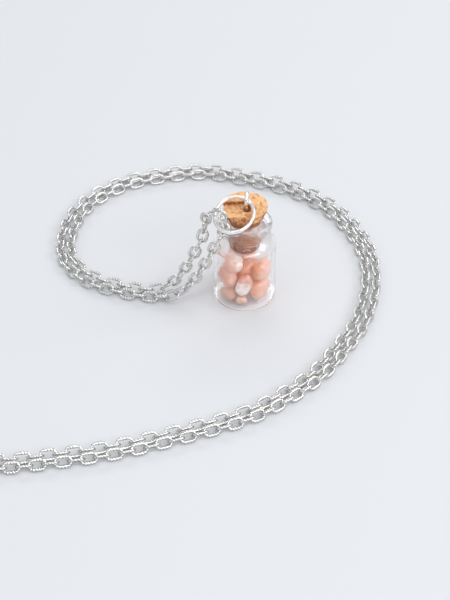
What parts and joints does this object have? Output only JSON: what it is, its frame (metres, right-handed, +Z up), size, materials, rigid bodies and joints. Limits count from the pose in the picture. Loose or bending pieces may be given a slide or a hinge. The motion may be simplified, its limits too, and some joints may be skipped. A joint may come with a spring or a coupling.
{
  "type": "bottle pendant necklace",
  "caption": "Corked glass vial of stone chips on a ring, hung on a long cable chain that lies doubled round it.",
  "frame": {"origin": "middle of the vial's foot, on the surface that the vial stands on and the chain lies on", "axes": "+Z up along the vial; the viewer of the picture looks from -Y, so +X is the picture's right"},
  "size_m": [0.1057, 0.1162, 0.0298],
  "materials": {
    "bottle": "clear, glossy",
    "cork": "matt agglomerate cork",
    "screw_eye": "bright silver plating",
    "jump_ring": "bright silver plating",
    "chain_inner": "bright silver plating, textured wire",
    "chain_outer": "bright silver plating, textured wire",
    "end_ring_inner": "bright silver plating",
    "end_ring_outer": "bright silver plating",
    "clasp": "bright silver plating",
    "stone_01": "tumbled, softly polished",
    "stone_02": "tumbled, softly polished",
    "stone_03": "tumbled, softly polished",
    "stone_04": "tumbled, softly polished",
    "stone_05": "tumbled, softly polished",
    "stone_06": "tumbled, softly polished",
    "stone_07": "tumbled, softly polished",
    "stone_08": "tumbled, softly polished",
    "stone_09": "tumbled, softly polished",
    "stone_10": "tumbled, softly polished",
    "stone_11": "tumbled, softly polished",
    "stone_12": "tumbled, softly polished"
  },
  "bodies": {
    "root": {"bottle": "bottle", "cork": "cork", "screw_eye": "screw_eye", "jump_ring": "jump_ring", "chain_inner": "chain_inner", "chain_outer": "chain_outer", "end_ring_inner": "end_ring_inner", "end_ring_outer": "end_ring_outer", "clasp": "clasp", "stone_01": "stone_01", "stone_02": "stone_02", "stone_03": "stone_03", "stone_04": "stone_04", "stone_05": "stone_05", "stone_06": "stone_06", "stone_07": "stone_07", "stone_08": "stone_08", "stone_09": "stone_09", "stone_10": "stone_10", "stone_11": "stone_11", "stone_12": "stone_12"}
  },
  "joints": []
}
